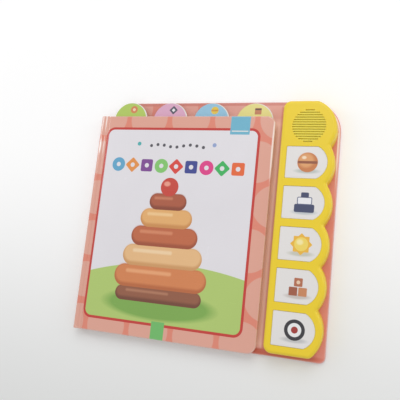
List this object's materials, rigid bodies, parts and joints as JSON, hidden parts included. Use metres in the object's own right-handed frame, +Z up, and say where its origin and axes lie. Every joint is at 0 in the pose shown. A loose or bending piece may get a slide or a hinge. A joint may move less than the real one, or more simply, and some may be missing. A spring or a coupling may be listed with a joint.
{
  "type": "children's sound board book",
  "caption": "Board book with tabbed pages, a hinged front cover and a battery sound module with a speaker grille and push buttons beside the pages.",
  "frame": {"origin": "middle of the footprint, on the surface that the back cover lies on", "axes": "+X from the spine towards the sound module, +Y towards the page tabs, +Z up out of the front cover"},
  "size_m": [0.2266, 0.2172, 0.0155],
  "materials": {
    "printed_board": "greyboard wrapped in printed paper with a glossy film",
    "page_board": "coated printed page board",
    "yellow_plastic": "moulded, satin",
    "dark_plastic": "moulded, fine texture",
    "button_plastic": "moulded white",
    "button_print": "printed film label",
    "keypad_rubber": "moulded silicone",
    "circuit_laminate": "solder mask on glass laminate",
    "chip_resin": "cured resin drop",
    "speaker_steel": "pressed and plated",
    "speaker_paper": "pressed film cone",
    "cell_steel": "nickel plated can",
    "contact_metal": "sprung sheet",
    "screw_steel": "zinc plated"
  },
  "bodies": {
    "book": {"back_cover": "printed_board", "spine_board": "printed_board", "page_block": "page_board", "sound_housing": "yellow_plastic", "module_base": "dark_plastic", "circuit_board": "circuit_laminate", "chip_cover": "chip_resin", "rubber_keypad": "keypad_rubber", "speaker_frame": "speaker_steel", "speaker_cone": "speaker_paper", "speaker_magnet": "speaker_steel", "battery_cell_1": "cell_steel", "battery_cell_2": "cell_steel", "battery_cell_3": "cell_steel", "roof_contact_single": "contact_metal", "roof_contact_double": "contact_metal", "door_contact_double": "contact_metal", "door_contact_single": "contact_metal", "battery_door": "dark_plastic", "door_screw": "screw_steel", "housing_screw_1": "screw_steel", "housing_screw_2": "screw_steel", "housing_screw_3": "screw_steel", "housing_screw_4": "screw_steel", "housing_screw_5": "screw_steel", "housing_screw_6": "screw_steel"},
    "front_cover": {"front_cover": "printed_board"},
    "button_1": {"button_1": "button_plastic", "button_label_1": "button_print"},
    "button_2": {"button_2": "button_plastic", "button_label_2": "button_print"},
    "button_3": {"button_3": "button_plastic", "button_label_3": "button_print"},
    "button_4": {"button_4": "button_plastic", "button_label_4": "button_print"},
    "button_5": {"button_5": "button_plastic", "button_label_5": "button_print"}
  },
  "joints": [
    {"name": "cover_hinge", "type": "hinge", "parent": "book", "child": "front_cover", "pos_m": [-0.1037, 0, 0.0105], "axis": [0, -1, 0], "range_deg": [0, 178]},
    {"name": "button_1_press", "type": "slide", "parent": "book", "child": "button_1", "axis": [0, 0, -1], "range_m": [0, 0.0008], "stiffness_N_per_m": 600, "springref_m": -0.001},
    {"name": "button_2_press", "type": "slide", "parent": "book", "child": "button_2", "axis": [0, 0, -1], "range_m": [0, 0.0008], "stiffness_N_per_m": 600, "springref_m": -0.001},
    {"name": "button_3_press", "type": "slide", "parent": "book", "child": "button_3", "axis": [0, 0, -1], "range_m": [0, 0.0008], "stiffness_N_per_m": 600, "springref_m": -0.001},
    {"name": "button_4_press", "type": "slide", "parent": "book", "child": "button_4", "axis": [0, 0, -1], "range_m": [0, 0.0008], "stiffness_N_per_m": 600, "springref_m": -0.001},
    {"name": "button_5_press", "type": "slide", "parent": "book", "child": "button_5", "axis": [0, 0, -1], "range_m": [0, 0.0008], "stiffness_N_per_m": 600, "springref_m": -0.001}
  ]
}
